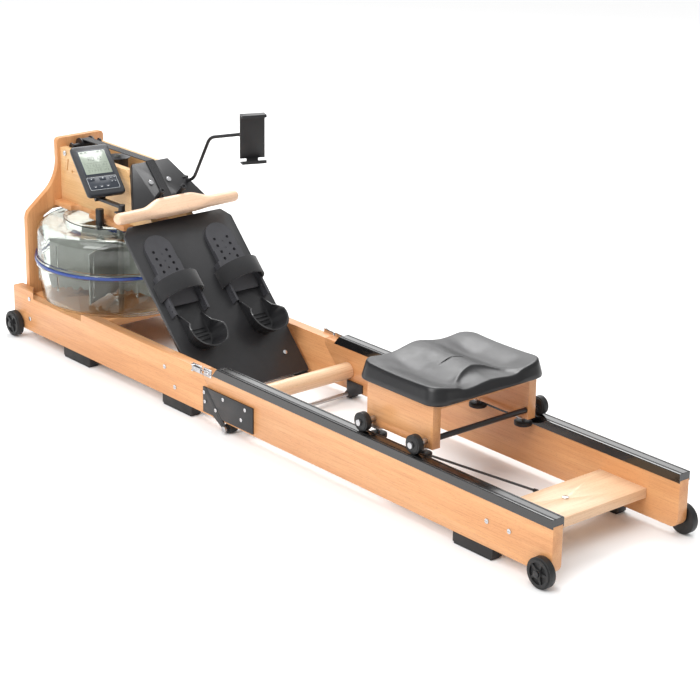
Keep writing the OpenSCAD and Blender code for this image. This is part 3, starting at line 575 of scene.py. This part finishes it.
def add_handle():
    """Gull-wing bar: round grips that widen up the slope into a flat middle."""
    low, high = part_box("handle")
    half = (high.y - low.y) / 2
    grip_r, end = 0.016, 0.016
    bm = bmesh.new()
    rings = []
    tip_stations = [-half + end * (1 - math.cos(math.radians(a))) for a in (6, 20, 36, 52, 70)]
    stations = tip_stations + [-half + end + (2 * half - 2 * end) * k / 60 for k in range(61)]
    stations += [-y for y in reversed(tip_stations)]
    for y in stations:
        over = max(0, (abs(y) - (half - end)) / end)
        tip = math.sqrt(max(0, 1 - over * over))
        middle = 1 - smooth_step(abs(y), 0.046, 0.112)
        up, down, thick = grip_r + 0.018 * middle, grip_r + 0.002 * middle, grip_r - 0.002 * middle
        power = 2 + 2.2 * middle
        ring = []
        for k in range(40):
            a = 2 * math.pi * k / 40
            c, s = math.cos(a), math.sin(a)
            x = math.copysign(abs(c) ** (2 / power), c) * (down if c > 0 else up)
            n = math.copysign(abs(s) ** (2 / power), s) * thick
            ring.append(SLOPE @ Vector((-HANDLE_S + x * tip, y, HANDLE_N + n * tip)))
        rings.append(ring)
    lofted(bm, rings)
    finished("handle_bar", bm, handle_wood, "handle", "handle", smooth_angle=50)


def lengths_along(path):
    """Distance from the path's start to each of its points."""
    travelled = [0.0]
    for one, two in zip(path, path[1:]):
        travelled.append(travelled[-1] + (two - one).length)
    return travelled


def ribbon(path, width, thick, across=Y):
    """A flat strap along a path of points, with its width across; its UVs are in metres."""
    bm = bmesh.new()
    uv = bm.loops.layers.uv.new("UVMap")
    rings = []
    travelled = lengths_along(path)
    for k, point in enumerate(path):
        ahead = path[min(k + 1, len(path) - 1)] - path[max(k - 1, 0)]
        up = ahead.cross(across).normalized()
        half_w, half_t = across * width / 2, up * thick / 2
        edge = across * thick * 0.35
        rings.append([point - half_w - half_t * 0.5, point - half_w + half_t * 0.5,
                      point - half_w + edge + half_t, point + half_w - edge + half_t,
                      point + half_w + half_t * 0.5, point + half_w - half_t * 0.5,
                      point + half_w - edge - half_t, point - half_w + edge - half_t])
    layers = lofted(bm, rings)
    where = {v: (k, j) for k, layer in enumerate(layers) for j, v in enumerate(layer)}
    for face in bm.faces:
        for loop in face.loops:
            k, j = where[loop.vert]
            loop[uv].uv = ((loop.vert.co - path[k]).dot(across), travelled[k])
    return bm


def add_strap():
    """The pull strap: a static run from the head pulley, and a drop from its crest down to the handle."""
    width, thick = 0.028, 0.0024
    run_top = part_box("strap_run")[1].z
    pulley_low, pulley_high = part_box("head_pulley")
    pulley = (pulley_low + pulley_high) / 2
    radius = run_top - pulley.z - 0.0013
    turn_back = [Vector((pulley.x, 0, pulley.z)) + radius * Vector((-math.cos(a), 0, math.sin(a)))
                 for a in (math.radians(d) for d in range(-80, 91, 10))]
    crest = SLOPE @ Vector((-0.689, 0, 0.0135))
    run = turn_back + [turn_back[-1].lerp(crest, k / 24) for k in range(1, 25)]
    finished("strap_top_run", ribbon(run, width, thick), webbing, "front_frame", "strap_run")
    foot = SLOPE @ Vector((-HANDLE_S - 0.026, 0, 0.0140))
    bm = ribbon([crest.lerp(foot, k / 60) for k in range(61)], width, thick)
    mesh = bpy.data.meshes.new("strap_front_drop")
    bmesh.ops.recalc_face_normals(bm, faces=bm.faces)
    bm.to_mesh(mesh)
    bm.free()
    piece = link("strap_front_drop", mesh, webbing)
    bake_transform(piece)
    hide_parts("strap_drop")


# ---- monitor ----

# The monitor's frame: X runs down its face, Y across and Z out of the face, from the back of the case
MONITOR = (Matrix.Translation((-0.745, -0.134, 0.533)) @ Matrix.Rotation(math.radians(-11), 4, "Z")
           @ Matrix.Rotation(math.radians(40), 4, "Y") @ Matrix.Translation((0, 0, -0.026)))
CASE_H, CASE_W = 0.164, 0.110
SCREEN_X, KEYS_X = -0.024, 0.0445
PANEL_HALF_W = 0.0425
ROUND_KEYS_X, ROUND_KEYS_Y = 0.0565, (-0.026, -0.008, 0.010)
SQUARE_KEYS = [(x, y) for x in (0.031, 0.043) for y in (0.026, 0.036)]
LARGE_KEYS_X, LARGE_KEYS_Y = 0.030, (-0.030, 0.003)
# Bars of a seven-segment figure, clockwise from the top and then the middle: steps down and across
# in units of the figure's half height, and whether the bar lies flat
SEGMENTS = ((-1, 0, 1), (-0.5, 0.5, 0), (0.5, 0.5, 0), (1, 0, 1), (0.5, -0.5, 0), (-0.5, -0.5, 0),
            (0, 0, 1))


def plate_on_monitor(bm, x, y, half_x, half_y, low, high, radius, edge=0.0004):
    """A rounded flat plate on the monitor's face, with a small round edge."""
    rings = []
    for inset, level in ((0, low), (0, high - edge), (edge * 0.3, high - edge * 0.3), (edge, high)):
        outline = rounded_rectangle(half_x - inset, half_y - inset, max(radius - inset, 0.0001),
                                    corner=5, side=3)
        rings.append([MONITOR @ (p + Vector((x, y, level))) for p in outline])
    lofted(bm, rings)


def add_case():
    bm = bmesh.new()
    rings = []
    for inset, level in ((0.016, 0), (0.011, 0.0006), (0.0075, 0.003), (0.003, 0.010),
                         (0.0004, 0.0165), (0, 0.0185), (0.0002, 0.0225), (0.0011, 0.0247),
                         (0.0028, 0.0257), (0.0050, 0.026)):
        outline = rounded_rectangle(CASE_H / 2 - inset, CASE_W / 2 - inset, 0.011 - inset * 0.3,
                                    corner=8, side=6)
        rings.append([MONITOR @ (p + Vector((0, 0, level))) for p in outline])
    lofted(bm, rings)
    block(bm, (0.040, -0.009, -0.014), (0.060, 0.009, 0.004), MONITOR)
    finished("monitor_housing", bm, monitor_shell, "monitor", "monitor_case")


def add_panel():
    bm = bmesh.new()
    for x, half_x in ((SCREEN_X, PANEL_HALF_W), (KEYS_X, 0.0210)):
        plate_on_monitor(bm, x, 0, half_x, PANEL_HALF_W, 0.0252, 0.0264, 0.004)
    for y in ROUND_KEYS_Y:
        plate_on_monitor(bm, ROUND_KEYS_X, y, 0.0042, 0.0055, 0.0258, 0.0272, 0.0024)
    for x, y in SQUARE_KEYS:
        plate_on_monitor(bm, x, y, 0.0036, 0.0036, 0.0258, 0.0270, 0.0010)
    finished("monitor_panel", bm, keycap, "monitor")


def add_display():
    """The display's glass, with generic dark figures and rules on it."""
    bm = bmesh.new()
    plate_on_monitor(bm, SCREEN_X, 0, 0.0378, 0.0378, 0.0256, 0.0268, 0.0015, 0.0002)
    finished("monitor_glass", bm, lcd, "monitor", "monitor_screen")
    bm = bmesh.new()

    def bar(x, y, half_x, half_y):
        block(bm, (x - half_x, y - half_y, 0.0268), (x + half_x, y + half_y, 0.02688), MONITOR)

    def figure(x, y, size, lit):
        long, wide = size * 0.46, size * 0.075
        for on, (down, across, flat) in zip(lit, SEGMENTS):
            if on == "1":
                bar(x + down * size, y + across * size, wide if flat else long,
                    long * 0.95 if flat else wide)
    for column, lit in zip((-0.0135, -0.0040, 0.0075, 0.0170),
                           ("1110111", "1111110", "0110000", "1101101")):
        figure(-0.036, column, 0.0058, lit)
    for row in (-0.013, 0.003):
        for k, lit in enumerate(("1111110", "0110000", "1110111", "1111001")):
            figure(row, -0.026 + 0.0068 * k + (0.004 if k > 1 else 0), 0.0034, lit)
            figure(row, 0.008 + 0.0068 * k, 0.0034, lit)
    for x in (-0.0215, -0.0055):
        bar(x, 0, 0.0002, 0.033)
    bar(-0.055, 0, 0.0003, 0.033)
    for y in (-0.030, -0.018, 0.018, 0.030):
        bar(-0.058, y, 0.0010, 0.0035)
    finished("monitor_figures", bm, lcd_ink, "monitor")


def add_marks():
    """A pale line round the keys, and a pale dot or dash on each key."""
    bm = bmesh.new()
    outer = rounded_rectangle(0.0208, 0.0423, 0.004, corner=5, side=3)
    inner = rounded_rectangle(0.0202, 0.0417, 0.0036, corner=5, side=3)
    place = MONITOR @ Matrix.Translation((KEYS_X, 0, 0))
    rings = [[place @ (p + Vector((0, 0, level))) for p in outline]
             for outline, level in ((outer, 0.0262), (outer, 0.02655), (inner, 0.02655), (inner, 0.0262))]
    lofted(bm, rings, False, False)
    for y in LARGE_KEYS_Y:
        plate_on_monitor(bm, LARGE_KEYS_X, y, 0.0013, 0.0013, 0.0272, 0.0277, 0.0012, 0.0001)
    for y in ROUND_KEYS_Y:
        plate_on_monitor(bm, ROUND_KEYS_X, y, 0.0006, 0.0024, 0.0270, 0.02735, 0.0005, 0.0001)
    for x, y in SQUARE_KEYS:
        plate_on_monitor(bm, x, y, 0.0005, 0.0016, 0.0268, 0.02715, 0.0004, 0.0001)
    finished("monitor_marks", bm, pale_ink, "monitor")


def add_monitor():
    add_case()
    add_panel()
    add_display()
    add_marks()
    for side, y in zip(("left", "right"), LARGE_KEYS_Y):
        bm = bmesh.new()
        plate_on_monitor(bm, LARGE_KEYS_X, y, 0.0055, 0.0090, 0.0230, 0.0276, 0.0025, 0.0006)
        finished("key_cap_" + side, bm, keycap, "key_" + side, "key_" + side)


# ---- elastic cord ----

def tube(path, radius, sides=14):
    """A round cord along a path; its UVs run in metres, round and along."""
    bm = bmesh.new()
    uv = bm.loops.layers.uv.new("UVMap")
    rings = []
    side = Y
    for k, point in enumerate(path):
        ahead = (path[min(k + 1, len(path) - 1)] - path[max(k - 1, 0)]).normalized()
        side = (side - ahead * side.dot(ahead)).normalized()
        up = ahead.cross(side)
        rings.append([point + radius * (side * math.cos(a) + up * math.sin(a))
                      for a in (2 * math.pi * j / sides for j in range(sides))])
    layers = lofted(bm, rings)
    where = {v: (k, j) for k, layer in enumerate(layers) for j, v in enumerate(layer)}
    length = lengths_along(path)
    for face in bm.faces:
        ends = {where[v][1] for v in face.verts}
        seam = ends == {0, sides - 1}
        for loop in face.loops:
            k, j = where[loop.vert]
            j = sides if seam and j == 0 else j
            loop[uv].uv = (2 * math.pi * radius * j / sides, length[k])
    return bm


def add_bungee():
    """Elastic cord from an eye round the cross shaft to the plank, with a clamp at each end."""
    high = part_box("bungee_cord")[1]
    shaft_low, shaft_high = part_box("hinge_shaft")
    shaft = (shaft_low + shaft_high) / 2
    eye_r, cord_r = 0.0095, 0.003
    end = Vector((high.x - 0.001, 0, high.z - cord_r))
    ahead = (end - shaft).normalized()
    lean = math.atan2(ahead.z, ahead.x)
    eye = [shaft + eye_r * Vector((math.cos(a + lean), 0, math.sin(a + lean)))
           for a in (math.radians(d) for d in range(14, 347, 14))]
    start = shaft + ahead * (eye_r + 0.002)
    bm = tube(eye, cord_r)
    run = tube([start.lerp(end, k / 40) for k in range(41)], cord_r)
    joined = bpy.data.meshes.new("run")
    run.to_mesh(joined)
    run.free()
    bm.from_mesh(joined)
    bpy.data.meshes.remove(joined)
    finished("elastic_cord", bm, cord, "rear_frame", "bungee_cord")
    bm = bmesh.new()
    clamp = [(0, 0), (0.0042, 0), (0.0046, 0.0006), (0.0046, 0.0114), (0.0042, 0.012), (0, 0.012)]
    for at in (0.018, (end - shaft).length - 0.03):
        place = Matrix.Translation(shaft + ahead * at) @ ahead.to_track_quat("Z", "Y").to_matrix().to_4x4()
        turned(bm, clamp, place, 24)
    finished("cord_clamps", bm, black_plastic, "rear_frame")


add_seat()
add_tracks()
add_handle()
add_strap()
add_monitor()
add_bungee()

# ---- timber ----

for node, axis, width in (("front_rails", "X", 0.0022), ("rear_rails", "X", 0.0022),
                          ("headboard", "Z", 0.0025), ("cross_boards", "Y", 0.002),
                          ("carriage_boards", "X", 0.0025)):
    softened(node, beech[axis], width)
softened("spine_boards", spine_wood, 0.002)
softened("rear_plank", pale["Y"], 0.003)
softened("footrests", grey_plastic, 0.00025, segments=1)
softened("cross_dowel", pale["Y"], 0.002)

# ---- fittings: bright screws, but dark axle caps in the wheels' hubs ----

AXLE_X, AXLE_Y = 1.03, 0.2
for fittings, body in (("front_fittings", "front_frame"), ("rear_fittings", "rear_frame")):
    for name, shade, wants_axle in ((fittings + "_screws", chrome, False),
                                    (fittings + "_axles", black_steel, True)):
        bm = node_mesh(fittings)
        others = [v for v in bm.verts
                  if (abs(v.co.x) > AXLE_X and abs(v.co.y) > AXLE_Y) != wants_axle]
        bmesh.ops.delete(bm, geom=others, context="VERTS")
        round_edges(bm, 0.0005)
        finished(name, bm, shade, body, *([] if wants_axle else [fittings]))

# ---- everything else, by its CAD shape ----

# The material of each slot's remaining pieces and the rounding of their edges
PLAIN = {
    "black_board": (black_board, 0.0015), "black_steel": (black_steel, 0.0006),
    "black_plastic": (black_plastic, 0.0008), "grey_plastic": (grey_plastic, 0.0008),
    "clear_tank": (clear_tank, 0.0008), "blue_seal": (blue_seal, 0.001), "paddle": (paddle, 0.001),
    "rubber": (rubber, 0.0012), "zinc": (zinc, 0.0004), "webbing": (webbing, 0.0004),
}
slot_of = {row["node"]: row["material_slot"] for row in frame["record"]["subparts"]}
for node, thing in frame["nodes"].items():
    if not thing.hide_render:
        shade, width = PLAIN[slot_of[node]]
        softened(node, shade, width)
